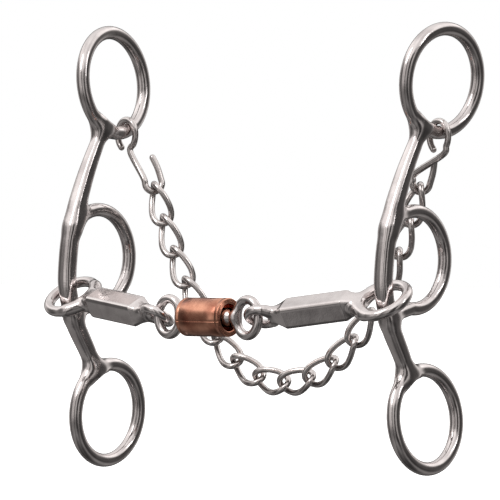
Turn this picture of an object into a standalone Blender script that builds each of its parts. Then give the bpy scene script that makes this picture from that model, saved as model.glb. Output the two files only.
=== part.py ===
"""Loose-cheek curb bit with a three-piece mouth, a copper roller and a curb chain.

Run with: blender --background --python part.py
Units are metres.  +Z is up, +Y is towards the horse's chest (the rein and chain side), and +X runs
from the left cheek to the right cheek.  The origin is where the left cheek strap bears, on the top
inner side of the left headstall ring.  Inside this file every place is first given about the
middle of the mouth, level with the cheek bars' pivots, and one empty shifts the whole bit.
"""
import math

import bmesh
import bpy
from mathutils import Matrix, Vector

MM = 0.001

# ---- driving sizes -------------------------------------------------------------------------
MOUTH_WIDTH = 134 * MM        # between the centre lines of the two cheek bars
RUNNING_GAP = 0.4 * MM        # between two wires that hang in each other

# cheeks
BAR_RADIUS = 2.75 * MM        # half the bar's width across flats
BAR_CHAMFER = 0.36            # share of each flat that the corner chamfer takes
RING_WIRE = 2.2 * MM          # radius of the wire of all three rings
HEADSTALL_RADIUS = 16.7 * MM  # centre line of the headstall ring
HEADSTALL_REAR = 25.4 * MM    # its centre, behind the bar
HEADSTALL_RISE = 70.6 * MM    # its centre, above the mouth
HEADSTALL_OUT = 2.7 * MM      # its centre, outboard of the bar
HEADSTALL_CANT = 5.7          # degrees the top leans outward
HEADSTALL_TOE = -4.3          # degrees the rear turns outward
HEADSTALL_JOIN = -28.0        # degrees forward of its lowest point, where the bar joins it
REIN_RADIUS = 15.9 * MM
REIN_REAR = 21.0 * MM
REIN_DROP = 38.1 * MM
REIN_OUT = 0.4 * MM
REIN_CANT = -4.1
REIN_TOE = -0.3
REIN_JOIN = -29.0             # degrees forward of its highest point, where the bar joins it
SNAFFLE_RADIUS = 15.65 * MM
SNAFFLE_REAR = 15.3 * MM
SNAFFLE_RISE = 13.0 * MM
SNAFFLE_LEAVES = 142.0        # degrees round from the rear, where its upper end leaves the bar
SNAFFLE_SWEEP = 238.0         # degrees it runs round from there, before it turns to the bar
WEB_THICKNESS = 3.4 * MM      # cast webs in the crotches between rings and bar
RING_WEB_LEG = 6.5 * MM       # how far a web reaches along the bar, at the two end rings
UPPER_WEB_LEG = 8.5 * MM      # above and below the snaffle ring
LOWER_WEB_LEG = 8.0 * MM

# the bar's bow, as shares of the height and the setback of the ring that each half runs to
BAR_UPPER = [(0.92, 0.87), (0.69, 0.48), (0.40, 0.12), (0.16, 0.0), (0.02, 0.03)]
BAR_LOWER = [(0.35, 0.29), (0.74, 0.74)]

# mouthpiece
CENTRE_SPAN = 38.8 * MM       # between the two joints of the centre link
BOW_ANGLE = 10.5              # degrees that each cannon runs forward of the straight line
EYE_INWARD = 1.1 * MM          # each cheek eye's centre, inward of its bar's centre line
MOUTH_ASIDE = 1.1 * MM         # the mouthpiece hangs this far towards the right cheek
JOINT_DROP = 6.0 * MM         # how far the inner joints hang below the cheek pivots
CHEEK_EYE_RADIUS = 8.2 * MM   # centre line of the cannon's large eye
CHEEK_EYE_WIRE = 1.75 * MM
CHEEK_EYE_ROLL = 36.0         # degrees its front edge dips below its rear edge
INNER_EYE_RADIUS = 4.5 * MM
INNER_EYE_WIRE = 1.5 * MM
INNER_EYE_ROLL = -30.0
CANNON_HALF = 4.0 * MM        # half the cannon's width across flats
CANNON_CHAMFER = 0.16
CANNON_ROOT = 0.46            # share of its width left where it runs into an eye
CANNON_ROLL = 32.0
SHOULDER = 5.0 * MM           # length of the cannon's taper at each end
LINK_EYE_LONG = 4.6 * MM      # centre line of the link's oval eye, along the mouth
LINK_EYE_TALL = 5.8 * MM
LINK_EYE_WIRE = 1.55 * MM
BARREL_RADIUS = 3.2 * MM
NECK_RADIUS = 2.1 * MM
NECK_FLARE = 1.15             # the neck's swell where it meets the barrel's taper
BARREL_TAPER = 2.2 * MM
ROLLER_RADIUS = 6.3 * MM
ROLLER_WALL = 1.9 * MM
ROLLER_CHAMFER = 0.5 * MM
ROLLER_END_PLAY = 1.3 * MM    # at each end, between the roller and the link's eyes

# curb chain and its hooks
LEFT_HOOK_AT = 19.0           # degrees behind the headstall ring's lowest point
RIGHT_HOOK_AT = 2.0
HOOK_WIRE = 1.05 * MM
HOOK_EYE_WIDE = 3.8 * MM
HOOK_EYE_TALL = 5.0 * MM
HOOK_BEND = 2.8 * MM          # radius of the open hook
HOOK_TIP = 9.7 * MM           # straight run up to the free tip
HOOK_FLARE = -1.0 * MM
HOOK_EYE_STARTS = -160.0      # degrees round the eye from its top, where the wire's end lies
HOOK_EYE_SWEEP = 285.0
HOOK_NECK_ASIDE = 1.7 * MM    # the bend between the eye and the stem
HOOK_NECK_DROP = 0.8 * MM
HOOK_STEM = 3.0 * MM          # straight run into the open hook
LINKS = 16
LINK_WIRE = 1.0 * MM
LINK_WIDTH = 9.2 * LINK_WIRE   # over the wire
LINK_SQUARENESS = 0.8         # 1 is an ellipse, and less has fuller ends
LINK_TWIST = -42.0            # degrees that each end is turned out of the chain's flat
LEFT_HOOK_INWARD = 11.5 * MM   # from its seat on the ring to the chain's end link
LEFT_HOOK_REARWARD = 1.1 * MM
RIGHT_HOOK_INWARD = 9.3 * MM
RIGHT_HOOK_REARWARD = 1.9 * MM
HOOK_REACH = 18.4 * MM        # height from the hooks' seats down to the chain's ends
CHAIN_SAG = 63.9 * MM

# ---- smoothness ----------------------------------------------------------------------------
RING_STEPS = 36
WIRE_SIDES = 10
LINK_STEPS = 20
TURNED_STEPS = 24

STEEL = ("polished_steel", (0.62, 0.60, 0.59, 1.0), 0.18, 1.0)
CHAIN_STEEL = ("chain_steel", (0.58, 0.56, 0.55, 1.0), 0.24, 1.0)
COPPER = ("copper", (0.72, 0.38, 0.24, 1.0), 0.28, 1.0)


# ---- worked out from the sizes above -------------------------------------------------------
def rotation(degrees, axis):
    return Matrix.Rotation(math.radians(degrees), 3, axis)


class Ring:
    """A ring of the right cheek (side 1) or the left cheek (side -1), in that cheek's frame."""

    def __init__(self, side, radius, out, rear, rise, toe, cant):
        self.radius = radius
        self.centre = Vector((side * out, rear, rise))
        self.turn = rotation(side * toe, "Z") @ rotation(side * cant, "Y")

    def point(self, degrees_from_bottom, radius=None):
        """Point on the centre line; the angle grows towards the rear."""
        angle = math.radians(degrees_from_bottom)
        reach = self.radius if radius is None else radius
        flat = Vector((0.0, reach * math.sin(angle), -reach * math.cos(angle)))
        return self.centre + self.turn @ flat


def headstall_ring(side):
    return Ring(side, HEADSTALL_RADIUS, HEADSTALL_OUT, HEADSTALL_REAR, HEADSTALL_RISE,
                HEADSTALL_TOE, HEADSTALL_CANT)


def rein_ring(side):
    return Ring(side, REIN_RADIUS, REIN_OUT, REIN_REAR, -REIN_DROP, REIN_TOE, REIN_CANT)


def cheek_place(side):
    return Vector((side * MOUTH_WIDTH / 2, 0.0, 0.0))


def eye_place(side):
    """Middle of a cannon's cheek eye."""
    return Vector((side * (MOUTH_WIDTH / 2 - EYE_INWARD) + MOUTH_ASIDE, 0.0, 0.0))


def joint_place(side):
    """Where a cannon's inner eye and the centre link's eye hang in each other."""
    reach = (MOUTH_WIDTH - CENTRE_SPAN) / 2 - EYE_INWARD
    forward = reach * math.tan(math.radians(BOW_ANGLE))
    return Vector((side * CENTRE_SPAN / 2 + MOUTH_ASIDE, -forward, -JOINT_DROP))


def strap_seat():
    """Top inner side of the left headstall ring, about the middle of the mouth."""
    ring = headstall_ring(-1)
    return cheek_place(-1) + ring.point(180.0, HEADSTALL_RADIUS - RING_WIRE)


def hook_seat(side):
    """Where a curb hook's eye hangs on the centre line of its headstall ring."""
    angle = LEFT_HOOK_AT if side < 0 else RIGHT_HOOK_AT
    return cheek_place(side) + headstall_ring(side).point(angle)


def chain_end(side):
    """Where the end link hangs in its hook; both ends are level."""
    seat = hook_seat(side)
    inward = LEFT_HOOK_INWARD if side < 0 else RIGHT_HOOK_INWARD
    rearward = LEFT_HOOK_REARWARD if side < 0 else RIGHT_HOOK_REARWARD
    level = (hook_seat(-1).z + hook_seat(1).z) / 2 - HOOK_REACH
    return Vector((seat.x - side * inward, seat.y + rearward, level))


def catenary_scale(half_span, sag):
    """Scale of the hanging curve with this half span and sag, by halving an interval."""
    low, high = half_span / 10, half_span * 10
    for _ in range(60):
        middle = (low + high) / 2
        hangs = middle * (math.cosh(half_span / middle) - 1)
        low, high = (middle, high) if hangs > sag else (low, middle)
    return (low + high) / 2


def chain_joints():
    """The chain's joints along its hanging curve, in the plane between its two hooks."""
    across = chain_end(1) - chain_end(-1)
    half_span = across.length / 2
    scale = catenary_scale(half_span, CHAIN_SAG)
    half_length = scale * math.sinh(half_span / scale)
    middle = (chain_end(-1) + chain_end(1)) / 2
    joints = []
    for number in range(LINKS + 1):
        along = half_length * (2 * number / LINKS - 1)
        x = scale * math.asinh(along / scale)
        z = scale * math.cosh(x / scale) - scale - CHAIN_SAG
        joints.append(middle + across.normalized() * x + Vector((0.0, 0.0, z)))
    return joints


def smooth_path(points, per_span):
    """Catmull-Rom curve through the points, with per_span steps between neighbours."""
    path = []
    ends = [2 * points[0] - points[1]] + list(points) + [2 * points[-1] - points[-2]]
    for i in range(1, len(ends) - 2):
        a, b, c, d = ends[i - 1:i + 3]
        for step in range(per_span):
            t = step / per_span
            path.append(0.5 * (2 * b + (c - a) * t + (2 * a - 5 * b + 4 * c - d) * t ** 2
                               + (3 * b - 3 * c + d - a) * t ** 3))
    path.append(points[-1].copy())
    return path


# ---- modelling helpers ---------------------------------------------------------------------
def clear_scene():
    for thing in list(bpy.data.objects):
        bpy.data.objects.remove(thing, do_unlink=True)


def make_collection(name):
    collection = bpy.data.collections.new(name)
    bpy.context.scene.collection.children.link(collection)
    return collection


def make_material(look):
    name, colour, roughness, metallic = look
    material = bpy.data.materials.get(name) or bpy.data.materials.new(name)
    material.use_nodes = True
    shader = material.node_tree.nodes["Principled BSDF"]
    shader.inputs["Base Color"].default_value = colour
    shader.inputs["Roughness"].default_value = roughness
    shader.inputs["Metallic"].default_value = metallic
    material.diffuse_color = colour
    return material


def put_in(thing, collection):
    for old in list(thing.users_collection):
        old.objects.unlink(thing)
    collection.objects.link(thing)


def wire_curve(name, points, radius=0.0, closed=False, sides=WIRE_SIDES, section=None, scales=None,
               twist="MINIMUM"):
    """Curve object that sweeps a round wire, or a section object, along the points."""
    data = bpy.data.curves.new(name, "CURVE")
    data.dimensions = "3D"
    data.use_fill_caps = not closed
    if section:
        data.bevel_mode = "OBJECT"
        data.bevel_object = section
        data.twist_mode = twist
    else:
        data.bevel_depth = radius
        data.bevel_resolution = sides // 2 - 2
    spline = data.splines.new("POLY")
    spline.points.add(len(points) - 1)
    spline.use_cyclic_u = closed
    for i, place in enumerate(points):
        spline.points[i].co = (place[0], place[1], place[2], 1.0)
        spline.points[i].radius = scales[i] if scales else 1.0
    thing = bpy.data.objects.new(name, data)
    bpy.context.scene.collection.objects.link(thing)
    return thing


def as_mesh(curve):
    """Closed mesh object in place of a curve object, with its caps welded."""
    bpy.context.view_layer.update()
    evaluated = curve.evaluated_get(bpy.context.evaluated_depsgraph_get())
    mesh = bpy.data.meshes.new_from_object(evaluated)
    work = bmesh.new()
    work.from_mesh(mesh)
    bmesh.ops.remove_doubles(work, verts=work.verts, dist=1e-6)
    bmesh.ops.recalc_face_normals(work, faces=work.faces)
    work.to_mesh(mesh)
    work.free()
    name = curve.name
    thing = bpy.data.objects.new(name, mesh)
    thing.matrix_world = curve.matrix_world.copy()
    bpy.data.objects.remove(curve, do_unlink=True)
    thing.name = name
    bpy.context.scene.collection.objects.link(thing)
    return thing


def octagon_section(name, half, chamfer):
    """Flat closed curve: a square of this half width with chamfered corners."""
    flat = half * (1 - chamfer)
    corners = [(half, -flat), (half, flat), (flat, half), (-flat, half),
               (-half, flat), (-half, -flat), (-flat, -half), (flat, -half)]
    data = bpy.data.curves.new(name, "CURVE")
    data.dimensions = "2D"
    data.fill_mode = "NONE"
    spline = data.splines.new("POLY")
    spline.points.add(len(corners) - 1)
    spline.use_cyclic_u = True
    for i, (x, y) in enumerate(corners):
        spline.points[i].co = (x, y, 0.0, 1.0)
    section = bpy.data.objects.new(name, data)
    helpers.objects.link(section)
    section.hide_render = True
    section.display_type = "WIRE"
    return section


def torus(name, radius, wire, place, turn):
    """Torus about the frame's X axis, then turned and placed."""
    bpy.ops.mesh.primitive_torus_add(major_segments=RING_STEPS, minor_segments=WIRE_SIDES,
                                     major_radius=radius, minor_radius=wire)
    thing = bpy.context.object
    thing.name = name
    spin = turn @ rotation(90.0, "Y")
    thing.matrix_world = Matrix.Translation(place) @ spin.to_4x4()
    return thing


def turned(name, profile, place, steps=TURNED_STEPS, closed=False):
    """Turned piece about the frame's X axis; the profile is (radius, height) from top to bottom."""
    mesh = bpy.data.meshes.new(name)
    count = len(profile)
    edges = [(i, i + 1) for i in range(count - 1)]
    if closed:
        edges.append((count - 1, 0))
    mesh.from_pydata([(radius, 0.0, height) for radius, height in profile], edges, [])
    thing = bpy.data.objects.new(name, mesh)
    bpy.context.scene.collection.objects.link(thing)
    screw = thing.modifiers.new("Turn", "SCREW")
    screw.axis = "Z"
    screw.steps = steps
    screw.render_steps = steps
    screw.use_merge_vertices = True
    screw.merge_threshold = 1e-5
    thing.matrix_world = Matrix.Translation(place) @ rotation(90.0, "Y").to_4x4()
    return thing


def web(name, corner, first, second, leg):
    """Cast fillet in the YZ plane: a plate between two directions, with a hollow round edge."""
    first, second = first.normalized(), second.normalized()
    half_angle = first.angle(second) / 2
    radius = leg * math.tan(half_angle)
    middle = corner + (first + second).normalized() * leg / math.cos(half_angle)
    start = (corner + first * leg - middle).normalized()
    finish = (corner + second * leg - middle).normalized()
    outline = [corner]
    for step in range(7):
        outline.append(middle + start.slerp(finish, step / 6) * radius)
    data = bpy.data.curves.new(name, "CURVE")
    data.dimensions = "2D"
    data.fill_mode = "BOTH"
    data.extrude = WEB_THICKNESS / 2
    spline = data.splines.new("POLY")
    spline.points.add(len(outline) - 1)
    spline.use_cyclic_u = True
    for i, place in enumerate(outline):
        spline.points[i].co = (place.x, place.y, 0.0, 1.0)
    thing = bpy.data.objects.new(name, data)
    thing.rotation_euler = (math.radians(90), 0.0, math.radians(90))
    bpy.context.scene.collection.objects.link(thing)
    return as_mesh(thing)


def fuse(base, pieces):
    """Join pieces to the base with Boolean unions; the pieces stay as hidden helpers."""
    for piece in pieces:
        put_in(piece, helpers)
        piece.hide_render = True
        piece.display_type = "WIRE"
        union = base.modifiers.new("Join " + piece.name, "BOOLEAN")
        union.operation = "UNION"
        union.solver = "EXACT"
        union.object = piece
    return base


def finish_part(thing, look, place, children=()):
    """Hang a finished piece, and its helpers, from the bit's frame at this place."""
    put_in(thing, bit)
    thing.data.materials.clear()
    thing.data.materials.append(make_material(look))
    if thing.type == "MESH":
        thing.data.shade_smooth()
        thing.data.set_sharp_from_angle(angle=math.radians(35))
    for child in children:
        child.parent = thing
        child.matrix_parent_inverse = thing.matrix_world.inverted()
    thing.parent = frame
    thing.location = thing.location + place
    return thing


# ---- the pieces ----------------------------------------------------------------------------
def bar_path(side):
    """Centre line of a cheek's bar, from the headstall ring down to the rein ring."""
    top = headstall_ring(side).point(HEADSTALL_JOIN)
    bottom = rein_ring(side).point(180.0 - REIN_JOIN)
    points = [top]
    for rise, setback in BAR_UPPER:
        points.append(Vector((top.x * rise ** 2, top.y * setback, top.z * rise)))
    for drop, setback in BAR_LOWER:
        points.append(Vector((bottom.x * drop ** 2, bottom.y * setback, bottom.z * drop)))
    points.append(bottom)
    return points, smooth_path(points, 4)


def snaffle_path(lower_end):
    """Centre line of the snaffle ring: off the bar, round behind it, and back to lower_end."""
    path = []
    steps = 26
    for step in range(steps + 1):
        angle = math.radians(SNAFFLE_LEAVES - SNAFFLE_SWEEP * step / steps)
        path.append(Vector((0.0, SNAFFLE_REAR + SNAFFLE_RADIUS * math.cos(angle),
                            SNAFFLE_RISE + SNAFFLE_RADIUS * math.sin(angle))))
    back = path[-1]
    path.append(back.lerp(lower_end, 0.45) + Vector((0.0, 0.0, 0.4 * MM)))
    path.append(lower_end)
    return path


def flat_of(vector):
    """A YZ direction or place as the web outline's two coordinates."""
    return Vector((vector.y, vector.z))


def build_shank(side, name):
    """One cheek casting: bar, headstall ring, snaffle ring, rein ring and the webs between."""
    top_ring, low_ring = headstall_ring(side), rein_ring(side)
    points, path = bar_path(side)
    section = octagon_section(name + "_section", BAR_RADIUS, BAR_CHAMFER)
    bar = as_mesh(wire_curve(name, path, section=section))
    foot = points[-3].lerp(points[-4], 0.25)
    strand = snaffle_path(foot)
    snaffle = as_mesh(wire_curve(name + "_snaffle", strand, RING_WIRE))
    rings = [torus(name + "_headstall", top_ring.radius, RING_WIRE, top_ring.centre, top_ring.turn),
             torus(name + "_rein", low_ring.radius, RING_WIRE, low_ring.centre, low_ring.turn)]
    top, bottom, leaves = points[0], points[-1], strand[0]
    upper_crotch = leaves.lerp(strand[2], 0.5)
    webs = [
        web(name + "_web_1", flat_of(top), flat_of(top_ring.point(0.0) - top),
            flat_of(points[2] - top), RING_WEB_LEG),
        web(name + "_web_2", flat_of(upper_crotch), flat_of(strand[6] - upper_crotch),
            flat_of(points[2] - upper_crotch), UPPER_WEB_LEG),
        web(name + "_web_3", flat_of(foot), flat_of(strand[-3] - foot),
            flat_of(points[-2] - foot), LOWER_WEB_LEG),
        web(name + "_web_4", flat_of(bottom), flat_of(points[-2] - bottom),
            flat_of(low_ring.point(180.0) - bottom), RING_WEB_LEG),
    ]
    pieces = [snaffle] + rings + webs
    fuse(bar, pieces)
    return finish_part(bar, STEEL, cheek_place(side), pieces)


def build_cannon(side, name):
    """One mouth bar: large eye round the cheek's bar, chamfered square bar, small inner eye."""
    reach = joint_place(side) - eye_place(side)
    length = reach.length
    eye_out = length + (INNER_EYE_WIRE + LINK_EYE_WIRE + RUNNING_GAP) / 2
    inner_centre = eye_out - INNER_EYE_RADIUS
    bar_start = CHEEK_EYE_RADIUS
    bar_end = inner_centre - INNER_EYE_RADIUS
    stations = [(bar_start, CANNON_ROOT), (bar_start + SHOULDER, 1.0),
                (bar_end - SHOULDER, 1.0), (bar_end, CANNON_ROOT)]
    section = octagon_section(name + "_section", CANNON_HALF, CANNON_CHAMFER)
    bar = as_mesh(wire_curve(name, [Vector((u, 0.0, 0.0)) for u, _ in stations], section=section,
                             scales=[scale for _, scale in stations], twist="Z_UP"))
    bar.rotation_euler = (math.radians(-side * CANNON_ROLL), 0.0, 0.0)
    bpy.context.view_layer.update()
    upright = rotation(90.0, "Y")
    cheek_eye = torus(name + "_cheek_eye", CHEEK_EYE_RADIUS, CHEEK_EYE_WIRE, Vector((0, 0, 0)),
                      rotation(-side * CHEEK_EYE_ROLL, "X") @ upright)
    inner_eye = torus(name + "_inner_eye", INNER_EYE_RADIUS, INNER_EYE_WIRE,
                      Vector((inner_centre, 0, 0)), rotation(-side * INNER_EYE_ROLL, "X") @ upright)
    pieces = [cheek_eye, inner_eye]
    fuse(bar, pieces)
    cannon = finish_part(bar, STEEL, eye_place(side), pieces)
    heading = math.atan2(reach.y, reach.x)
    dip = -math.asin(reach.z / length)
    aim = rotation(math.degrees(heading), "Z") @ rotation(math.degrees(dip), "Y")
    roll = rotation(-side * CANNON_ROLL, "X")
    cannon.rotation_euler = (aim @ roll).to_euler()
    return cannon


def barrel_half():
    """Half the plain barrel's length, up to the link's eyes."""
    eye_end = CENTRE_SPAN / 2 + (INNER_EYE_WIRE + LINK_EYE_WIRE + RUNNING_GAP) / 2
    return eye_end - 2 * LINK_EYE_LONG - LINK_EYE_WIRE


def build_centre_link(name):
    """Dog-bone: a turned barrel whose necks run into an oval eye at each end."""
    eye_end = CENTRE_SPAN / 2 + (INNER_EYE_WIRE + LINK_EYE_WIRE + RUNNING_GAP) / 2
    eye_centre = eye_end - LINK_EYE_LONG
    neck_end = eye_centre - LINK_EYE_LONG
    half = barrel_half()
    profile = [(0.0, neck_end), (NECK_RADIUS, neck_end), (NECK_RADIUS * NECK_FLARE, half),
               (BARREL_RADIUS, half - BARREL_TAPER), (BARREL_RADIUS, BARREL_TAPER - half),
               (NECK_RADIUS * NECK_FLARE, -half), (NECK_RADIUS, -neck_end), (0.0, -neck_end)]
    barrel = turned(name, profile, Vector((0, 0, 0)))
    eyes = []
    for side, end in ((-1, "left"), (1, "right")):
        oval = []
        for step in range(RING_STEPS):
            angle = 2 * math.pi * step / RING_STEPS
            oval.append(Vector((side * eye_centre + LINK_EYE_LONG * math.cos(angle), 0.0,
                                LINK_EYE_TALL * math.sin(angle))))
        eyes.append(as_mesh(wire_curve(name + "_" + end + "_eye", oval, LINK_EYE_WIRE, closed=True)))
    fuse(barrel, eyes)
    middle = (joint_place(-1) + joint_place(1)) / 2
    return finish_part(barrel, STEEL, middle, eyes)


def build_roller(name):
    """Copper tube with chamfered ends, free to turn on the barrel."""
    half = barrel_half() - ROLLER_END_PLAY
    bore = ROLLER_RADIUS - ROLLER_WALL
    chamfer = ROLLER_CHAMFER
    profile = [(bore + chamfer, half), (ROLLER_RADIUS - chamfer, half),
               (ROLLER_RADIUS, half - chamfer), (ROLLER_RADIUS, chamfer - half),
               (ROLLER_RADIUS - chamfer, -half), (bore + chamfer, -half),
               (bore, chamfer - half), (bore, half - chamfer)]
    roller = turned(name, profile, Vector((0, 0, 0)), steps=32, closed=True)
    middle = (joint_place(-1) + joint_place(1)) / 2
    return finish_part(roller, COPPER, middle)


def build_hook(name, side, holds, down):
    """Curb hook: closed eye round the headstall ring's wire, stem, and an open hook at the rear.

    The bend holds the chain's end link at this place, and the hook hangs along the chain.
    """
    hangs_at = hook_seat(side)
    twist = math.radians(LINK_TWIST)
    straight_back = Vector((0.0, 1.0, 0.0))
    rear = straight_back * math.cos(twist) - down.cross(straight_back) * math.sin(twist)
    bottom = holds + down * (HOOK_WIRE + RUNNING_GAP / 2) - hangs_at
    bend_centre = bottom - down * HOOK_BEND
    eye_top = RING_WIRE + HOOK_WIRE + RUNNING_GAP
    eye_middle = eye_top - HOOK_EYE_TALL
    path = []
    for step in range(15):
        angle = math.radians(HOOK_EYE_STARTS + HOOK_EYE_SWEEP * step / 14)
        path.append(Vector((HOOK_EYE_WIDE * math.sin(angle), 0.0,
                            eye_middle + HOOK_EYE_TALL * math.cos(angle))))
    neck = Vector((HOOK_NECK_ASIDE, 0.0, eye_middle - HOOK_EYE_TALL - HOOK_NECK_DROP))
    stem = [path[-1], neck, bend_centre - rear * HOOK_BEND - down * HOOK_STEM,
            bend_centre - rear * HOOK_BEND]
    path.extend(smooth_path(stem, 3)[1:])
    for step in range(1, 9):
        angle = math.pi * step / 8
        path.append(bend_centre - rear * HOOK_BEND * math.cos(angle)
                    + down * HOOK_BEND * math.sin(angle))
    back = path[-1]
    path.append(back - down * HOOK_TIP * 0.5 + rear * HOOK_FLARE * 0.15)
    path.append(back - down * HOOK_TIP + rear * HOOK_FLARE)
    hook = as_mesh(wire_curve(name, path, HOOK_WIRE, sides=8))
    return finish_part(hook, CHAIN_STEEL, hangs_at)


def fuller(share):
    return math.copysign(abs(share) ** LINK_SQUARENESS, share)


def link_curve(name, pitch):
    """Twisted wire link from the joint behind it (its origin) towards the one ahead (+X)."""
    half = pitch / 2 + LINK_WIRE + RUNNING_GAP / 2
    half_wide = LINK_WIDTH / 2 - LINK_WIRE
    points = []
    for step in range(LINK_STEPS):
        angle = 2 * math.pi * (step + 0.5) / LINK_STEPS
        along = half * fuller(math.cos(angle))
        aside = half_wide * fuller(math.sin(angle))
        twist = math.radians(LINK_TWIST) * along / half
        points.append(Vector((along + pitch / 2, -aside * math.sin(twist), aside * math.cos(twist))))
    return wire_curve(name, points, LINK_WIRE, closed=True, sides=6)


def build_chain():
    """The curb chain's links, each laid between two joints of the hanging curve."""
    joints = chain_joints()
    pitch = sum((b - a).length for a, b in zip(joints, joints[1:])) / LINKS
    pattern = as_mesh(link_curve("chain_link_01", pitch))
    normal = (chain_end(1) - chain_end(-1)).normalized().cross(Vector((0, 0, 1)))
    for number in range(LINKS):
        name = "chain_link_%02d" % (number + 1)
        link = pattern if number == 0 else bpy.data.objects.new(name, pattern.data)
        ahead = (joints[number + 1] - joints[number]).normalized()
        turn = Matrix((ahead, -normal, ahead.cross(-normal))).transposed()
        put_in_place = Matrix.Translation(joints[number]) @ turn.to_4x4()
        if number:
            bpy.context.scene.collection.objects.link(link)
        link.matrix_world = put_in_place
        finish_part(link, CHAIN_STEEL, Vector((0, 0, 0)))


clear_scene()
bit = make_collection("curb_bit")
helpers = make_collection("construction")
frame = bpy.data.objects.new("bit_frame", None)
bit.objects.link(frame)
frame.location = -strap_seat()

for cheek_side, cheek_name in ((-1, "left"), (1, "right")):
    build_shank(cheek_side, cheek_name + "_shank")
    build_cannon(cheek_side, cheek_name + "_cannon")
build_centre_link("centre_link")
build_roller("copper_roller")
hanging = chain_joints()
build_hook("left_curb_hook", -1, hanging[0], (hanging[1] - hanging[0]).normalized())
build_hook("right_curb_hook", 1, hanging[-1], (hanging[-2] - hanging[-1]).normalized())
build_chain()
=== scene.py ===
"""Finished look of the curb bit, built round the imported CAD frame.

Every piece is modelled afresh over its CAD node: the cast pieces as smooth blended skins, the wire
pieces as fine swept wires.  Lengths are in metres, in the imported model's frame.
"""

import math

import bpy
import numpy as np
from mathutils import Matrix, Vector


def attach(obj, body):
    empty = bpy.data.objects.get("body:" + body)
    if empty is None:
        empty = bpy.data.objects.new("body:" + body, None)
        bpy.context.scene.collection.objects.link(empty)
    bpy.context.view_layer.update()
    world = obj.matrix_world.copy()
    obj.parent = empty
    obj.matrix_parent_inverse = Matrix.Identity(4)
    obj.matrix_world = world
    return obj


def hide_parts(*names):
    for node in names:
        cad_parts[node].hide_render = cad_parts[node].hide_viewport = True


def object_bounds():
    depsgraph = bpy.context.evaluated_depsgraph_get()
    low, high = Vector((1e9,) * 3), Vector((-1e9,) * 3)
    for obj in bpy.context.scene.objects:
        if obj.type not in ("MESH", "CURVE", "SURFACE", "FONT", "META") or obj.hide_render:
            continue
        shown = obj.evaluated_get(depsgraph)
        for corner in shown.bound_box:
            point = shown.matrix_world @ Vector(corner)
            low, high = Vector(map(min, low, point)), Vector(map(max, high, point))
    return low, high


MM = 0.001
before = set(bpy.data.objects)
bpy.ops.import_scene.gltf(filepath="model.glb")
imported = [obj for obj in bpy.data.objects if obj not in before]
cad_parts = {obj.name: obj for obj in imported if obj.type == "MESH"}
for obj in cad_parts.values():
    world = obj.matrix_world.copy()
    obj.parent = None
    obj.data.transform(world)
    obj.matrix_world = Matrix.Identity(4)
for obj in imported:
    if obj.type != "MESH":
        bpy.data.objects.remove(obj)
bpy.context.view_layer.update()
SKIN_STEP = 0.42 * MM
SKIN_MARGIN = 0.8 * MM

# ---- softness of the castings: edges, and fillets where one shape runs into another ------------
BAR_SOFT = 0.9 * MM
BAR_END_SOFT = 1.0 * MM
SNAFFLE_FILLET = 3.4 * MM
RING_FILLET = 4.6 * MM
CANNON_SOFT = 0.55 * MM
CANNON_END_SOFT = 0.6 * MM
ARM_LEAN = 52.0
ARM_FILLET = 2.2 * MM
CHEEK_EYE_FILLET = 2.0 * MM
INNER_EYE_FILLET = 1.2 * MM
LINK_FILLET = 1.6 * MM
LINK_END_SOFT = 0.5 * MM

# ---- camera and room ---------------------------------------------------------------------------
CAMERA_BEARING = 40.09
CAMERA_ROLL = 0.46
CAMERA_DISTANCE = 3.0
CAMERA_LENS = 667.9
AIM_RIGHT = 8.7 * MM
AIM_UP = 15.7 * MM
FLOOR_RADIUS = 30.0
FLOOR_DROP = 60 * MM
# brightness across the room, from the left of the camera's view to the right
PANELS_FRONT = [(0.0, 0.20), (0.07, 0.85), (0.13, 0.50), (0.20, 0.95),
                (0.27, 0.07), (0.36, 0.42), (0.50, 0.62), (0.60, 0.06), (0.74, 0.05),
                (0.82, 0.60), (0.96, 0.06)]
PANELS_BEHIND = [(0.0, 0.10), (0.18, 0.70), (0.32, 0.12), (0.60, 0.10), (0.80, 0.80), (1.0, 0.08)]
# and from straight down to straight up
ROOM_HEIGHT = [(0.0, 0.10), (0.30, 0.25), (0.48, 0.9), (0.75, 1.0), (0.90, 0.4)]
CEILING = [(0.0, 0.03), (0.15, 0.12), (0.30, 0.02), (0.68, 0.0), (0.80, 0.80), (1.0, 0.95)]

# ---- the bit's sizes, about the middle of the mouth ------------------------------------------
MOUTH_WIDTH = 134 * MM
GAP = 0.4 * MM
BAR_HALF = 2.75 * MM
BAR_CHAMFER = 0.36
RING_WIRE = 2.2 * MM
HEADSTALL = {"radius": 16.7 * MM, "out": 2.7 * MM, "rear": 25.4 * MM, "rise": 70.6 * MM,
             "toe": -4.3, "cant": 5.7}
HEADSTALL_JOIN = -28.0
REIN = {"radius": 15.9 * MM, "out": 0.4 * MM, "rear": 21.0 * MM, "rise": -38.1 * MM,
        "toe": -0.3, "cant": -4.1}
REIN_JOIN = -29.0
SNAFFLE_RADIUS = 15.65 * MM
SNAFFLE_REAR = 15.3 * MM
SNAFFLE_RISE = 13.0 * MM
SNAFFLE_LEAVES = 142.0
SNAFFLE_SWEEP = 238.0
BAR_UPPER = [(0.92, 0.87), (0.69, 0.48), (0.40, 0.12), (0.16, 0.0), (0.02, 0.03)]
BAR_LOWER = [(0.35, 0.29), (0.74, 0.74)]
CENTRE_SPAN = 38.8 * MM
BOW_ANGLE = 10.5
EYE_INWARD = 1.1 * MM
MOUTH_ASIDE = 1.1 * MM
JOINT_DROP = 6.0 * MM
CHEEK_EYE = {"radius": 8.2 * MM, "wire": 1.75 * MM, "roll": 36.0}
INNER_EYE = {"radius": 4.5 * MM, "wire": 1.5 * MM, "roll": -30.0}
CANNON_HALF = 4.0 * MM
CANNON_ROLL = 32.0
CANNON_ROOT = 0.46
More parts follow.
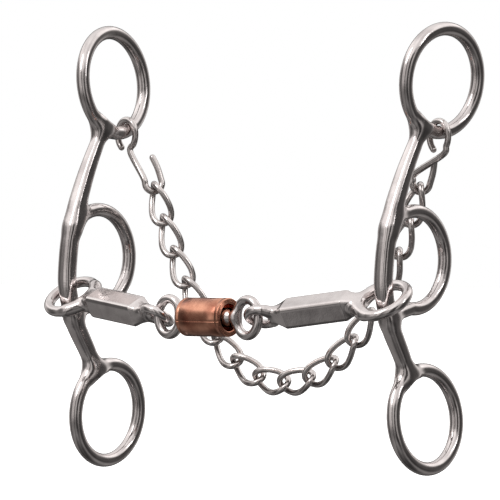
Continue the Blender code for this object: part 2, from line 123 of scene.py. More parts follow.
CANNON_CHAMFER = 0.16
SHOULDER = 5.0 * MM
LINK_EYE_LONG = 4.6 * MM
LINK_EYE_TALL = 5.8 * MM
LINK_EYE_WIRE = 1.55 * MM
BARREL_RADIUS = 3.2 * MM
BARREL_TAPER = 2.2 * MM
NECK_RADIUS = 2.1 * MM
NECK_FLARE = 1.15
ROLLER_RADIUS = 6.3 * MM
ROLLER_WALL = 1.9 * MM
ROLLER_CHAMFER = 0.5 * MM
ROLLER_END_PLAY = 1.3 * MM
HOOK_AT = {-1: 19.0, 1: 2.0}
HOOK_INWARD = {-1: 11.5 * MM, 1: 9.3 * MM}
HOOK_REARWARD = {-1: 1.1 * MM, 1: 1.9 * MM}
HOOK_REACH = 18.4 * MM
HOOK_WIRE = 1.05 * MM
HOOK_EYE_WIDE = 3.8 * MM
HOOK_EYE_TALL = 5.0 * MM
HOOK_EYE_STARTS = -160.0
HOOK_EYE_SWEEP = 285.0
HOOK_NECK_ASIDE = 1.7 * MM
HOOK_NECK_DROP = 0.8 * MM
HOOK_STEM = 3.0 * MM
HOOK_BEND = 2.8 * MM
HOOK_TIP = 9.7 * MM
HOOK_FLARE = -1.0 * MM
LINKS = 16
LINK_WIRE = 1.0 * MM
LINK_WIDTH = 9.2 * LINK_WIRE
LINK_SQUARENESS = 0.8
LINK_TWIST = -42.0
CHAIN_SAG = 63.9 * MM


# ---- places --------------------------------------------------------------------------------
def turn(degrees, axis):
    return np.array(Matrix.Rotation(math.radians(degrees), 3, axis))


class Ring:
    """A ring of one cheek, in that cheek's frame."""

    def __init__(self, side, ring):
        self.radius = ring["radius"]
        self.centre = np.array((side * ring["out"], ring["rear"], ring["rise"]))
        self.turn = turn(side * ring["toe"], "Z") @ turn(side * ring["cant"], "Y")
        self.normal = self.turn @ np.array((1.0, 0.0, 0.0))

    def point(self, degrees_from_bottom, radius=None):
        angle = math.radians(degrees_from_bottom)
        reach = self.radius if radius is None else radius
        flat = np.array((0.0, reach * math.sin(angle), -reach * math.cos(angle)))
        return self.centre + self.turn @ flat


def cheek_place(side):
    return np.array((side * MOUTH_WIDTH / 2, 0.0, 0.0))


def eye_place(side):
    return np.array((side * (MOUTH_WIDTH / 2 - EYE_INWARD) + MOUTH_ASIDE, 0.0, 0.0))


def joint_place(side):
    reach = (MOUTH_WIDTH - CENTRE_SPAN) / 2 - EYE_INWARD
    return np.array((side * CENTRE_SPAN / 2 + MOUTH_ASIDE,
                     -reach * math.tan(math.radians(BOW_ANGLE)), -JOINT_DROP))


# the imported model's origin is the strap's seat, at the top inner side of the left headstall ring
SEAT = cheek_place(-1) + Ring(-1, HEADSTALL).point(180.0, HEADSTALL["radius"] - RING_WIRE)


def unit(vector):
    vector = np.asarray(vector, float)
    return vector / np.linalg.norm(vector)


def smooth_path(points, per_span):
    """Catmull-Rom curve through the points."""
    points = [np.asarray(p, float) for p in points]
    ends = [2 * points[0] - points[1]] + points + [2 * points[-1] - points[-2]]
    path = []
    for i in range(1, len(ends) - 2):
        a, b, c, d = ends[i - 1:i + 3]
        for step in range(per_span):
            t = step / per_span
            path.append(0.5 * (2 * b + (c - a) * t + (2 * a - 5 * b + 4 * c - d) * t ** 2
                               + (3 * b - 3 * c + d - a) * t ** 3))
    path.append(points[-1])
    return np.array(path)


# ---- distance to a shape, for the cast skins ---------------------------------------------------
def blend(a, b, radius):
    """Union of two distances with a cast fillet of about this radius."""
    h = np.clip(0.5 + 0.5 * (b - a) / radius, 0.0, 1.0)
    return b * (1 - h) + a * h - radius * h * (1 - h)


def soft_max(a, b, radius):
    return -blend(-a, -b, radius)


def ring_distance(p, centre, normal, radius, wire):
    away = p - centre
    height = away @ normal
    flat = np.linalg.norm(away - height[:, None] * normal, axis=1)
    return np.hypot(flat - radius, height) - wire


def wire_distance(p, path, radii):
    """Distance to a wire along the path; radii is one radius, or one for each point."""
    radii = np.broadcast_to(np.asarray(radii, float), len(path))
    best = np.full(len(p), 1.0)
    for a, b, ra, rb in zip(path[:-1], path[1:], radii[:-1], radii[1:]):
        along = b - a
        t = np.clip((p - a) @ along / (along @ along), 0.0, 1.0)
        best = np.minimum(best, np.linalg.norm(p - a - t[:, None] * along, axis=1)
                          - (ra + (rb - ra) * t))
    return best


def octagon_distance(u, v, half, chamfer, soft):
    """Distance in the section's plane to a chamfered square whose edges are softened."""
    u, v = np.abs(u), np.abs(v)
    corner = (u + v) / math.sqrt(2) - half * (2 - chamfer) / math.sqrt(2)
    return soft_max(soft_max(u - half, v - half, soft), corner, soft)


def bar_distance(p, path, half, chamfer, soft):
    """Distance to a chamfered bar swept along the path, its flats kept square to the frame's X."""
    nearest = np.full(len(p), 1.0)
    u, v, past = np.zeros(len(p)), np.zeros(len(p)), np.zeros(len(p))
    for a, b in zip(path[:-1], path[1:]):
        along = unit(b - a)
        length = np.linalg.norm(b - a)
        across = unit(np.array((1.0, 0.0, 0.0)) - along[0] * along)
        third = np.cross(along, across)
        away = p - a
        t = away @ along
        held = np.clip(t, 0.0, length)
        gap = np.linalg.norm(away - held[:, None] * along, axis=1)
        closer = gap < nearest
        nearest = np.where(closer, gap, nearest)
        u = np.where(closer, away @ across, u)
        v = np.where(closer, away @ third, v)
        past = np.where(closer, np.abs(t - held), past)
    return np.maximum(octagon_distance(u, v, half, chamfer, soft), past - half)


def sampled(distance, axes, step):
    """The distance over a grid, worked out finely only in the blocks near the surface."""
    shape = tuple(len(a) for a in axes)
    middles = [a[::4] + 1.5 * step for a in axes]
    coarse = np.stack(np.meshgrid(*middles, indexing="ij"), -1)
    field = distance(coarse.reshape(-1, 3)).reshape(coarse.shape[:3])
    for axis in range(3):
        field = np.repeat(field, 4, axis)
    field = field[:shape[0], :shape[1], :shape[2]].copy()
    near = np.abs(field) < 4.0 * step
    points = np.array([a[0] for a in axes]) + np.argwhere(near) * step
    field[near] = distance(points)
    return field


def skin(distance, low, high, step):
    """Quads over the surface where distance is nought, one for each grid edge that crosses it."""
    axes = [np.arange(lo - 2 * step, hi + 3 * step, step) for lo, hi in zip(low, high)]
    field = sampled(distance, axes, step)
    inside = field < 0
    corners = [(i, j, k) for i in (0, 1) for j in (0, 1) for k in (0, 1)]
    cells = tuple(n - 1 for n in field.shape)

    def at(values, corner):
        return values[corner[0]:corner[0] + cells[0], corner[1]:corner[1] + cells[1],
                      corner[2]:corner[2] + cells[2]]

    count = sum(at(inside, c).astype(int) for c in corners)
    used = (count > 0) & (count < 8)
    number = np.full(cells, -1)
    number[used] = np.arange(used.sum())
    total, crossings = np.zeros(cells + (3,)), np.zeros(cells)
    for first in corners:
        for axis in range(3):
            if first[axis]:
                continue
            second = tuple(c + (n == axis) for n, c in enumerate(first))
            a, b = at(field, first), at(field, second)
            cross = (a < 0) != (b < 0)
            share = np.where(cross, a / np.where(cross, a - b, 1.0), 0.0)
            place = np.array(first, float) + share[..., None] * np.eye(3)[axis]
            total += place * cross[..., None]
            crossings += cross
    where = np.argwhere(used)
    places = where + total[used] / crossings[used][:, None]
    verts = np.array([a[0] for a in axes]) + places * step
    quads = []
    for axis in range(3):
        one, two = [n for n in range(3) if n != axis]
        if axis == 1:
            one, two = two, one
        near = np.moveaxis(inside, (axis, one, two), (0, 1, 2))
        ids = np.moveaxis(number, (axis, one, two), (0, 1, 2))
        cross = near[:-1] != near[1:]
        i, j, k = np.nonzero(cross[:, 1:-1, 1:-1])
        ring = np.stack([ids[i, j, k], ids[i, j + 1, k], ids[i, j + 1, k + 1], ids[i, j, k + 1]], 1)
        outward = near[:-1][:, 1:-1, 1:-1][i, j, k]
        quads.append(np.where(outward[:, None], ring, ring[:, ::-1]))
    return verts, np.concatenate(quads)


def slope(distance, p, reach=0.02 * MM):
    """The distance's gradient, from four nearby places."""
    total = np.zeros_like(p)
    for sign in ((1, -1, -1), (-1, -1, 1), (-1, 1, -1), (1, 1, 1)):
        sign = np.array(sign, float)
        total += sign * distance(p + sign * reach)[:, None]
    return total / (4 * reach)


def cast_mesh(distance, low, high, step=SKIN_STEP):
    """Mesh over the shape, with each vertex settled on the surface and the surface's own normals."""
    verts, quads = skin(distance, low, high, step)
    for _ in range(3):
        steep = slope(distance, verts)
        size = np.maximum((steep ** 2).sum(1), 0.05)
        verts = verts - (distance(verts) / size)[:, None] * steep
    normals = slope(distance, verts)
    normals /= np.linalg.norm(normals, axis=1)[:, None]
    return verts, quads, normals


def make_piece(name, node, verts, faces, material, normals=None, body=None):
    """Object from a mesh about the mouth's middle, which stands for the CAD node."""
    mesh = bpy.data.meshes.new(name)
    faces = faces.tolist() if isinstance(faces, np.ndarray) else faces
    mesh.from_pydata((np.asarray(verts) - SEAT).tolist(), [], faces)
    mesh.shade_smooth()
    mesh.validate()
    if normals is not None:
        mesh.normals_split_custom_set_from_vertices(np.asarray(normals).tolist())
    mesh.materials.append(material)
    piece = bpy.data.objects.new(name, mesh)
    bpy.context.scene.collection.objects.link(piece)
    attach(piece, body or node)
    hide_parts(node)
    return piece


def mirrored(verts, quads, normals, about=0.0):
    flip = np.array((-1.0, 1.0, 1.0))
    return verts * flip + np.array((2 * about, 0.0, 0.0)), quads[:, ::-1], normals * flip


# ---- cheeks --------------------------------------------------------------------------------
def bar_points():
    """The left bar's own points, from the headstall ring down to the rein ring."""
    top = Ring(-1, HEADSTALL).point(HEADSTALL_JOIN)
    bottom = Ring(-1, REIN).point(180.0 - REIN_JOIN)
    points = [top]
    for rise, setback in BAR_UPPER:
        points.append(np.array((top[0] * rise ** 2, top[1] * setback, top[2] * rise)))
    for drop, setback in BAR_LOWER:
        points.append(np.array((bottom[0] * drop ** 2, bottom[1] * setback, bottom[2] * drop)))
    points.append(bottom)
    return points


def snaffle_points(foot):
    path = []
    for step in range(41):
        angle = math.radians(SNAFFLE_LEAVES - SNAFFLE_SWEEP * step / 40)
        path.append(np.array((0.0, SNAFFLE_REAR + SNAFFLE_RADIUS * math.cos(angle),
                              SNAFFLE_RISE + SNAFFLE_RADIUS * math.sin(angle))))
    back = path[-1]
    path.append(back + (foot - back) * 0.45 + np.array((0.0, 0.0, 0.4 * MM)))
    path.append(foot)
    return np.array(path)


def shank_distance():
    points = bar_points()
    bar = smooth_path(points, 10)
    foot = points[-3] + (points[-4] - points[-3]) * 0.25
    snaffle = snaffle_points(foot)
    rings = Ring(-1, HEADSTALL), Ring(-1, REIN)
    narrow = ([REIN["rise"] * 0.55, REIN["rise"] * 0.3, HEADSTALL["rise"] * 0.45,
               HEADSTALL["rise"] * 0.72], [0.90, 1.0, 1.0, 0.80])

    def distance(p):
        half = BAR_HALF * np.interp(p[:, 2], *narrow)
        whole = bar_distance(p, bar, half, BAR_CHAMFER, BAR_SOFT)
        for ring in rings:
            inside = ring.radius - 0.3 * MM - np.linalg.norm(p - ring.centre, axis=1)
            whole = soft_max(whole, inside, BAR_END_SOFT)
        whole = blend(whole, wire_distance(p, snaffle, RING_WIRE), SNAFFLE_FILLET)
        for ring in rings:
            whole = blend(whole, ring_distance(p, ring.centre, ring.normal, ring.radius, RING_WIRE),
                          RING_FILLET)
        return whole

    return distance


# ---- mouthpiece ----------------------------------------------------------------------------
def cannon_distance():
    """The left cannon about its cheek eye, with +X towards the inner eye."""
    length = np.linalg.norm(joint_place(-1) - eye_place(-1))
    eye_out = length + (INNER_EYE["wire"] + LINK_EYE_WIRE + GAP) / 2
    inner = np.array((eye_out - INNER_EYE["radius"], 0.0, 0.0))
    start, end = CHEEK_EYE["radius"], inner[0] - INNER_EYE["radius"]
    cheek_turn = turn(CHEEK_EYE["roll"], "X") @ turn(90.0, "Y")
    inner_turn = turn(INNER_EYE["roll"], "X") @ turn(90.0, "Y")
    x_axis, y_axis = np.array((1.0, 0.0, 0.0)), np.array((0.0, 1.0, 0.0))
    cheek_normal, inner_normal = cheek_turn @ x_axis, inner_turn @ x_axis
    cheek_side, inner_side = cheek_turn @ y_axis, inner_turn @ y_axis
    bar_turn = turn(CANNON_ROLL, "X")
    across, third = bar_turn @ y_axis, bar_turn @ np.array((0.0, 0.0, 1.0))
    stations = ([start - 1.5 * MM, start, start + SHOULDER, end - SHOULDER, end, end + 1.5 * MM],
                [CANNON_ROOT, CANNON_ROOT, 1.0, 1.0, CANNON_ROOT, CANNON_ROOT])
    arms = []
    for sign in (-1, 1):
        lean = math.radians(ARM_LEAN)
        tip = CHEEK_EYE["radius"] * (math.cos(lean) * x_axis + sign * math.sin(lean) * cheek_side)
        arms.append((np.array((x_axis * (start + SHOULDER * 0.8), tip)),
                     (2.0 * MM, CHEEK_EYE["wire"])))
        tip = inner + INNER_EYE["radius"] * (-math.cos(lean) * x_axis
                                             + sign * math.sin(lean) * inner_side)
        arms.append((np.array((x_axis * (end - SHOULDER * 0.6), tip)),
                     (1.9 * MM, INNER_EYE["wire"])))

    def distance(p):
        half = CANNON_HALF * np.interp(p[:, 0], *stations)
        past = np.maximum(start - 1.0 * MM - p[:, 0], p[:, 0] - end - 1.0 * MM)
        whole = octagon_distance(p @ across, p @ third, half, CANNON_CHAMFER,
                                 CANNON_SOFT) * 0.85
        whole = soft_max(whole, past, CANNON_END_SOFT)
        for path, radii in arms:
            whole = blend(whole, wire_distance(p, path, radii), ARM_FILLET)
        whole = blend(whole, ring_distance(p, np.zeros(3), cheek_normal, CHEEK_EYE["radius"],
                                           CHEEK_EYE["wire"]), CHEEK_EYE_FILLET)
        return blend(whole, ring_distance(p, inner, inner_normal, INNER_EYE["radius"],
                                          INNER_EYE["wire"]), INNER_EYE_FILLET)

    return distance, inner[0] + INNER_EYE["radius"] + INNER_EYE["wire"]


def cannon_aim():
    reach = joint_place(-1) - eye_place(-1)
    heading = math.atan2(reach[1], reach[0])
    dip = -math.asin(reach[2] / np.linalg.norm(reach))
    return turn(math.degrees(heading), "Z") @ turn(math.degrees(dip), "Y")


def link_eye_end():
    return CENTRE_SPAN / 2 + (INNER_EYE["wire"] + LINK_EYE_WIRE + GAP) / 2


def barrel_half():
    return link_eye_end() - 2 * LINK_EYE_LONG - LINK_EYE_WIRE


def centre_link_distance():
    eye_centre = link_eye_end() - LINK_EYE_LONG
    neck_end = eye_centre - LINK_EYE_LONG
    half = barrel_half()
    ovals = []
    for side in (-1, 1):
        angle = np.linspace(0.0, 2 * math.pi, 61)
        ovals.append(np.stack([side * eye_centre + LINK_EYE_LONG * np.cos(angle), 0 * angle,
                               LINK_EYE_TALL * np.sin(angle)], 1))
    stations = ([half - BARREL_TAPER, half, neck_end + 0.5 * MM],
                [BARREL_RADIUS, NECK_RADIUS * NECK_FLARE, NECK_RADIUS])

    def distance(p):
        along = np.abs(p[:, 0])
        whole = np.hypot(p[:, 1], p[:, 2]) - np.interp(along, *stations)
        whole = soft_max(whole, along - neck_end - 0.6 * MM, LINK_END_SOFT)
        for oval in ovals:
            whole = blend(whole, wire_distance(p, oval, LINK_EYE_WIRE), LINK_FILLET)
        return whole

    return distance


def lathe(profile, angles):
    """Mesh of a closed profile of (along, radius, outer) turned about X.

    angles holds (angle, depth): how far the outer points are sunk at that angle.
    """
    verts, faces = [], []
    count = len(profile)
    for angle, depth in angles:
        for along, radius, outer in profile:
            r = radius - depth * outer
            verts.append((along, r * math.cos(angle), r * math.sin(angle)))
    for i in range(len(angles)):
        j = (i + 1) % len(angles)
        for k in range(count):
            m = (k + 1) % count
            faces.append((i * count + k, i * count + m, j * count + m, j * count + k))
    return np.array(verts), faces


def roller_mesh():
    """Copper tube with rolled edges, a fine open seam along it and a bore."""
    half = barrel_half() - ROLLER_END_PLAY
    bore = ROLLER_RADIUS - ROLLER_WALL
    soft = ROLLER_CHAMFER
    profile = []
    for n in range(9):
        a = math.pi / 2 * n / 8
        profile.append((half - soft + soft * math.sin(a),
                        ROLLER_RADIUS - soft + soft * math.cos(a), 1.0))
    for n in range(9):
        a = math.pi / 2 * n / 8
        profile.append((half - soft + soft * math.cos(a), bore + soft - soft * math.sin(a), 0.0))
    left = [(-x, r, outer) for x, r, outer in reversed(profile)]
    # a shallow line turned near each end of the outer face
    line = half - 1.5 * MM
    outside = []
    for x, dip in ((-line - 0.22 * MM, 0.0), (-line, 0.13 * MM), (-line + 0.22 * MM, 0.0),
                   (-line / 2, 0.0), (0.0, 0.0), (line / 2, 0.0),
                   (line - 0.22 * MM, 0.0), (line, 0.13 * MM), (line + 0.22 * MM, 0.0)):
        outside.append((x, ROLLER_RADIUS - dip, 1.0))
    inside = [(x, bore, 0.0) for x in np.linspace(half - 2 * soft, 2 * soft - half, 7)]
    outline = outside + profile + inside + left
    seam = math.radians(180.0 + 13.0)
    angles = []
    for n in range(144):
        angle = 2 * math.pi * n / 144 + seam
        if 0 < n < 143:
            angles.append((angle, 0.0))
        elif n == 0:
            for offset, depth in ((-0.022, 0.0), (-0.009, 0.22 * MM), (0.009, 0.22 * MM), (0.022, 0.0)):
                angles.append((seam + offset, depth))
    return lathe(outline, angles)


# ---- hooks and chain -----------------------------------------------------------------------
def hook_seat(side):
    return cheek_place(side) + Ring(side, HEADSTALL).point(HOOK_AT[side])


def chain_end(side):
    seat = hook_seat(side)
    level = (hook_seat(-1)[2] + hook_seat(1)[2]) / 2 - HOOK_REACH
    return np.array((seat[0] - side * HOOK_INWARD[side], seat[1] + HOOK_REARWARD[side], level))


def chain_joints():
    across = chain_end(1) - chain_end(-1)
    half_span = np.linalg.norm(across) / 2
    low, high = half_span / 10, half_span * 10
    for _ in range(60):
        middle = (low + high) / 2
        hangs = middle * (math.cosh(half_span / middle) - 1)
        low, high = (middle, high) if hangs > CHAIN_SAG else (low, middle)
    scale = (low + high) / 2
    half_length = scale * math.sinh(half_span / scale)
    middle = (chain_end(-1) + chain_end(1)) / 2
    joints = []
    for number in range(LINKS + 1):
        x = scale * math.asinh(half_length * (2 * number / LINKS - 1) / scale)
        z = scale * math.cosh(x / scale) - scale - CHAIN_SAG
        joints.append(middle + unit(across) * x + np.array((0.0, 0.0, z)))
    return joints


def sweep(path, radii, sides, closed, first=None):
    """Mesh of a wire along the path; an open wire's ends are rounded by its last radii."""
    path = np.asarray(path, float)
    count = len(path)
    radii = np.broadcast_to(np.asarray(radii, float), count)
    if closed:
        tangents = np.roll(path, -1, 0) - np.roll(path, 1, 0)
    else:
        tangents = np.gradient(path, axis=0)
    tangents /= np.linalg.norm(tangents, axis=1)[:, None]
    side = unit(np.cross(tangents[0], first if first is not None else (0.31, 0.52, 0.79)))
    sides_at = [side]
    for tangent in tangents[1:]:
        side = unit(side - (side @ tangent) * tangent)
        sides_at.append(side)
    sides_at = np.array(sides_at)
    if closed:
        last = unit(sides_at[-1] - (sides_at[-1] @ tangents[0]) * tangents[0])
        third = np.cross(tangents[0], sides_at[0])
        off = math.atan2(last @ third, last @ sides_at[0])
        for n in range(count):
            a = -off * n / count
            third = np.cross(tangents[n], sides_at[n])
            sides_at[n] = sides_at[n] * math.cos(a) + third * math.sin(a)
    verts, faces = [], []
    for place, tangent, side, radius in zip(path, tangents, sides_at, radii):
        third = np.cross(tangent, side)
        for k in range(sides):
            a = 2 * math.pi * k / sides
            out = side * math.cos(a) + third * math.sin(a)
            verts.append(place + out * radius)
    for n in range(count if closed else count - 1):
        m = (n + 1) % count
        for k in range(sides):
            j = (k + 1) % sides
            faces.append((n * sides + k, n * sides + j, m * sides + j, m * sides + k))
    if not closed:
        faces.append(tuple(range(sides))[::-1])
        faces.append(tuple(range((count - 1) * sides, count * sides)))
    return np.array(verts), faces


def rounded_ends(path, radius):
    """The path with short steps at both ends, and the radii that round them off."""
    shares = [0.0, 0.1, 0.3, 0.6, 1.0]
    head, tail = unit(path[1] - path[0]), unit(path[-2] - path[-1])
    starts = [path[0] + head * radius * s for s in shares]
    ends = [path[-1] + tail * radius * s for s in reversed(shares)]
    clear = radius * 1.2
    body = [p for p in path[1:-1]
            if np.linalg.norm(p - path[0]) > clear and np.linalg.norm(p - path[-1]) > clear]
    bulge = [radius * math.sqrt(max(1 - (1 - s) ** 2, 0.004)) for s in shares]
    return (np.array(starts + body + ends),
            np.array(bulge + [radius] * len(body) + bulge[::-1]))


def hook_path(side, holds, down):
    hangs_at = hook_seat(side)
    twist = math.radians(LINK_TWIST)
    back = np.array((0.0, 1.0, 0.0))
    rear = back * math.cos(twist) - np.cross(down, back) * math.sin(twist)
    bottom = holds + down * (HOOK_WIRE + GAP / 2) - hangs_at
    bend = bottom - down * HOOK_BEND
    eye_middle = RING_WIRE + HOOK_WIRE + GAP - HOOK_EYE_TALL
    eye = []
    for step in range(43):
        angle = math.radians(HOOK_EYE_STARTS + HOOK_EYE_SWEEP * step / 42)
        eye.append(np.array((HOOK_EYE_WIDE * math.sin(angle), 0.0,
                             eye_middle + HOOK_EYE_TALL * math.cos(angle))))
    neck = np.array((HOOK_NECK_ASIDE, 0.0, eye_middle - HOOK_EYE_TALL - HOOK_NECK_DROP))
    stem = smooth_path([eye[-1], neck, bend - rear * HOOK_BEND - down * HOOK_STEM,
                        bend - rear * HOOK_BEND], 10)
    arc = []
    for step in range(1, 21):
        angle = math.pi * step / 20
        arc.append(bend - rear * HOOK_BEND * math.cos(angle) + down * HOOK_BEND * math.sin(angle))
    foot = arc[-1]
    tip = smooth_path([foot, foot - down * HOOK_TIP * 0.5 + rear * HOOK_FLARE * 0.15,
                       foot - down * HOOK_TIP + rear * HOOK_FLARE], 10)
    return hangs_at + np.array(eye + list(stem[1:]) + arc + list(tip[1:]))


def link_loop(pitch, steps=72):
    half = pitch / 2 + LINK_WIRE + GAP / 2
    wide = LINK_WIDTH / 2 - LINK_WIRE
    points = []
    for step in range(steps):
        angle = 2 * math.pi * (step + 0.5) / steps
        along = half * math.copysign(abs(math.cos(angle)) ** LINK_SQUARENESS, math.cos(angle))
        aside = wide * math.copysign(abs(math.sin(angle)) ** LINK_SQUARENESS, math.sin(angle))
        twist = math.radians(LINK_TWIST) * along / half
        points.append((along + pitch / 2, -aside * math.sin(twist), aside * math.cos(twist)))
    return np.array(points)


# ---- materials -----------------------------------------------------------------------------
def metal(name, colour, rough, scale, streaks, dark):
    """Polished metal: cloudy tarnish, fine polishing lines and small dents."""
    material = bpy.data.materials.new(name)
    material.use_nodes = True
    nodes, links = material.node_tree.nodes, material.node_tree.links
    shader = nodes["Principled BSDF"]
    shader.inputs["Metallic"].default_value = 1.0
    place = nodes.new("ShaderNodeTexCoord")

    def noise(size, detail, stretch=(1, 1, 1)):
        mapping = nodes.new("ShaderNodeMapping")
        mapping.inputs["Scale"].default_value = stretch
        links.new(place.outputs["Object"], mapping.inputs["Vector"])
        texture = nodes.new("ShaderNodeTexNoise")
        texture.inputs["Scale"].default_value = size
        texture.inputs["Detail"].default_value = detail
        links.new(mapping.outputs["Vector"], texture.inputs["Vector"])
        return texture.outputs["Fac"]

    def ramp(source, low, high, start, end):
        spread = nodes.new("ShaderNodeMapRange")
        spread.inputs["From Min"].default_value = low
        spread.inputs["From Max"].default_value = high
        spread.inputs["To Min"].default_value = start
        spread.inputs["To Max"].default_value = end
        links.new(source, spread.inputs["Value"])
        return spread.outputs["Result"]

    cloud = noise(scale, 5.0)
    lines = noise(scale * 3.0, 3.0, streaks)
    fine = noise(scale * 12.0, 2.0)
    colours = nodes.new("ShaderNodeValToRGB")
    colours.color_ramp.elements[0].position = 0.30
    colours.color_ramp.elements[0].color = dark
    colours.color_ramp.elements[1].position = 0.62
    colours.color_ramp.elements[1].color = colour
    links.new(cloud, colours.inputs["Fac"])
    links.new(colours.outputs["Color"], shader.inputs["Base Color"])
    total = nodes.new("ShaderNodeMath")
    links.new(ramp(cloud, 0.3, 0.7, rough + 0.05, rough - 0.05), total.inputs[0])
    links.new(ramp(lines, 0.35, 0.65, -0.04, 0.05), total.inputs[1])
    links.new(total.outputs["Value"], shader.inputs["Roughness"])
    height = nodes.new("ShaderNodeMath")
    height.operation = "MULTIPLY_ADD"
    height.inputs[1].default_value = 0.35
    links.new(fine, height.inputs[0])
    links.new(lines, height.inputs[2])
    bump = nodes.new("ShaderNodeBump")
    bump.inputs["Strength"].default_value = 0.30
    bump.inputs["Distance"].default_value = 0.00012
    links.new(height.outputs["Value"], bump.inputs["Height"])
    links.new(bump.outputs["Normal"], shader.inputs["Normal"])
    return material


steel = metal("bit_steel", (0.77, 0.72, 0.71, 1.0), 0.14, 160.0, (1.0, 1.0, 0.22),
              (0.58, 0.535, 0.53, 1.0))
wire_steel = metal("bit_chain_steel", (0.76, 0.715, 0.70, 1.0), 0.15, 240.0, (1.0, 1.0, 0.4),
                   (0.50, 0.46, 0.45, 1.0))
copper = metal("bit_copper", (0.74, 0.36, 0.24, 1.0), 0.21, 190.0, (0.14, 1.0, 1.0),
               (0.36, 0.13, 0.085, 1.0))

# ---- build ---------------------------------------------------------------------------------
shank = shank_distance()
rim = RING_WIRE + SKIN_MARGIN
low_corner = (-HEADSTALL["out"] - 5.0 * MM, -4.5 * MM, REIN["rise"] - REIN["radius"] - rim)
high_corner = (4.0 * MM, HEADSTALL["rear"] + HEADSTALL["radius"] + rim,
               HEADSTALL["rise"] + HEADSTALL["radius"] + rim)
verts, quads, normals = cast_mesh(shank, low_corner, high_corner)
verts = verts + cheek_place(-1)
make_piece("left_cheek", "left_shank", verts, quads, steel, normals)
verts, quads, normals = mirrored(verts, quads, normals)
make_piece("right_cheek", "right_shank", verts, quads, steel, normals)

cannon, cannon_end = cannon_distance()
eye_reach = CHEEK_EYE["radius"] + CHEEK_EYE["wire"] + SKIN_MARGIN
verts, quads, normals = cast_mesh(cannon, (-eye_reach, -eye_reach, -eye_reach),
                                  (cannon_end + SKIN_MARGIN, eye_reach, eye_reach))
aim = cannon_aim()
verts, normals = verts @ aim.T + eye_place(-1), normals @ aim.T
make_piece("left_mouth_bar", "left_cannon", verts, quads, steel, normals)
verts, quads, normals = mirrored(verts, quads, normals, MOUTH_ASIDE)
make_piece("right_mouth_bar", "right_cannon", verts, quads, steel, normals)

middle = (joint_place(-1) + joint_place(1)) / 2
link_reach = np.array((link_eye_end() + LINK_EYE_WIRE + SKIN_MARGIN, BARREL_RADIUS + SKIN_MARGIN,
                       LINK_EYE_TALL + LINK_EYE_WIRE + SKIN_MARGIN))
verts, quads, normals = cast_mesh(centre_link_distance(), -link_reach, link_reach,
                                  SKIN_STEP * 0.8)
make_piece("dog_bone", "centre_link", verts + middle, quads, steel, normals)
verts, faces = roller_mesh()
make_piece("roller", "copper_roller", verts + middle, faces, copper)

joints = chain_joints()
for side, name, ends in ((-1, "left", (0, 1)), (1, "right", (-1, -2))):
    heading = unit(joints[ends[1]] - joints[ends[0]])
    path, radii = rounded_ends(hook_path(side, joints[ends[0]], heading), HOOK_WIRE)
    verts, faces = sweep(path, radii, 20, False)
    make_piece(name + "_hook", name + "_curb_hook", verts, faces, wire_steel)

pitch = sum(np.linalg.norm(b - a) for a, b in zip(joints, joints[1:])) / LINKS
loop, loop_faces = sweep(link_loop(pitch), LINK_WIRE, 20, True)
across = unit(joints[-1] - joints[0])
normal = np.cross(across, (0.0, 0.0, 1.0))
for number in range(LINKS):
    ahead = unit(joints[number + 1] - joints[number])
    lay = np.array((ahead, -normal, np.cross(ahead, -normal))).T
    node = "chain_link_%02d" % (number + 1)
    make_piece("curb_" + node, node, loop @ lay.T + joints[number], loop_faces,
               wire_steel)


# ---- studio --------------------------------------------------------------------------------
def matte(name, colour, glow):
    material = bpy.data.materials.new(name)
    material.use_nodes = True
    shader = material.node_tree.nodes["Principled BSDF"]
    shader.inputs["Base Color"].default_value = colour
    shader.inputs["Roughness"].default_value = 0.9
    shader.inputs["Emission Color"].default_value = (1.0, 1.0, 1.0, 1.0)
    shader.inputs["Emission Strength"].default_value = glow
    return material


low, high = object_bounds()
heading = math.radians(CAMERA_BEARING)
ahead = np.array((-math.sin(heading), math.cos(heading), 0.0))
right = np.array((math.cos(heading), math.sin(heading), 0.0))
floor_mesh = bpy.data.meshes.new("floor")
rim_angles = np.linspace(0.0, 2 * math.pi, 97)[:-1]
floor_mesh.from_pydata([(FLOOR_RADIUS * math.cos(a), FLOOR_RADIUS * math.sin(a), low.z - FLOOR_DROP)
                        for a in rim_angles], [], [tuple(range(96))])
floor_mesh.materials.append(matte("floor_white", (0.86, 0.86, 0.86, 1.0), 0.75))
floor = bpy.data.objects.new("floor", floor_mesh)
floor.visible_glossy = False
bpy.context.scene.collection.objects.link(floor)


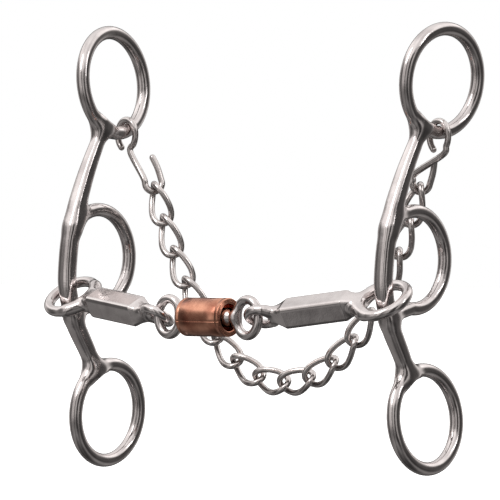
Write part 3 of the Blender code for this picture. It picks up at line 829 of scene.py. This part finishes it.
def studio_world():
    """White to the eye; to the metal, a dim room with tall soft panels and a bright ceiling."""
    world = bpy.data.worlds.new("studio")
    bpy.context.scene.world = world
    world.use_nodes = True
    nodes, links = world.node_tree.nodes, world.node_tree.links
    background = nodes["Background"]
    place = nodes.new("ShaderNodeTexCoord")

    def facing(direction):
        dot = nodes.new("ShaderNodeVectorMath")
        dot.operation = "DOT_PRODUCT"
        dot.inputs[1].default_value = direction
        links.new(place.outputs["Generated"], dot.inputs[0])
        shift = nodes.new("ShaderNodeMath")
        shift.operation = "MULTIPLY_ADD"
        shift.inputs[1].default_value = 0.5
        shift.inputs[2].default_value = 0.5
        links.new(dot.outputs["Value"], shift.inputs[0])
        return shift.outputs["Value"]

    def bands(source, stops):
        ramp = nodes.new("ShaderNodeValToRGB")
        ramp.color_ramp.interpolation = "EASE"
        elements = ramp.color_ramp.elements
        while len(elements) < len(stops):
            elements.new(0.5)
        for element, (position, value) in zip(elements, stops):
            element.position = position
            element.color = (value, value * 0.985, value * 0.975, 1.0)
        links.new(source, ramp.inputs["Fac"])
        return ramp.outputs["Color"]

    def combine(a, b, kind, share):
        mix = nodes.new("ShaderNodeMix")
        mix.data_type = "RGBA"
        mix.blend_type = kind
        mix.clamp_result = False
        if isinstance(share, float):
            mix.inputs["Factor"].default_value = share
        else:
            links.new(share, mix.inputs["Factor"])
        for source, socket in ((a, mix.inputs["A"]), (b, mix.inputs["B"])):
            if isinstance(source, tuple):
                socket.default_value = source
            else:
                links.new(source, socket)
        return mix.outputs["Result"]

    front = bands(facing(right), PANELS_FRONT)
    behind = bands(facing(right), PANELS_BEHIND)
    to_front = bands(facing(-ahead), [(0.40, 0.0), (0.60, 1.0)])
    sides = combine(behind, front, "MIX", to_front)
    up = facing((0.0, 0.0, 1.0))
    room = combine(sides, bands(up, ROOM_HEIGHT), "MULTIPLY", 1.0)
    room = combine(room, bands(up, CEILING), "ADD", 1.0)
    path = nodes.new("ShaderNodeLightPath")
    links.new(combine(room, (1.0, 1.0, 1.0, 1.0), "MIX", path.outputs["Is Camera Ray"]),
              background.inputs["Color"])
    background.inputs["Strength"].default_value = 1.0


studio_world()


def area_light(name, bearing, rise, distance, width, height, power):
    """Soft box aimed at the bit; the bearing is in degrees round from the camera, to its right."""
    a, e = math.radians(bearing), math.radians(rise)
    out = (-ahead * math.cos(a) + right * math.sin(a)) * math.cos(e) + np.array((0, 0, math.sin(e)))
    centre = np.array((low + high) / 2)
    data = bpy.data.lights.new(name, "AREA")
    data.shape = "RECTANGLE"
    data.size, data.size_y = width, height
    data.energy = power
    lamp = bpy.data.objects.new(name, data)
    lamp.location = centre + out * distance
    lamp.rotation_euler = Vector(-out).to_track_quat("-Z", "Y").to_euler()
    bpy.context.scene.collection.objects.link(lamp)


area_light("key", -50.0, 42.0, 1.2, 0.30, 0.55, 2.2)
area_light("fill", 60.0, 30.0, 1.4, 0.16, 0.60, 1.0)

# ---- camera --------------------------------------------------------------------------------
roll = math.radians(CAMERA_ROLL)
camera_right = right * math.cos(roll) + np.array((0.0, 0.0, math.sin(roll)))
camera_up = -right * math.sin(roll) + np.array((0.0, 0.0, math.cos(roll)))
aim_at = camera_right * AIM_RIGHT + camera_up * AIM_UP - SEAT
camera_data = bpy.data.cameras.new("camera")
camera_data.sensor_width = 36.0
camera_data.lens = CAMERA_LENS
camera_data.clip_end = 50.0
camera = bpy.data.objects.new("camera", camera_data)
axes = np.array((camera_right, camera_up, -ahead)).T
pose = np.eye(4)
pose[:3, :3] = axes
pose[:3, 3] = aim_at - ahead * CAMERA_DISTANCE
camera.matrix_world = Matrix(pose.tolist())
bpy.context.scene.collection.objects.link(camera)
bpy.context.scene.camera = camera
bpy.context.scene.view_settings.view_transform = "Standard"
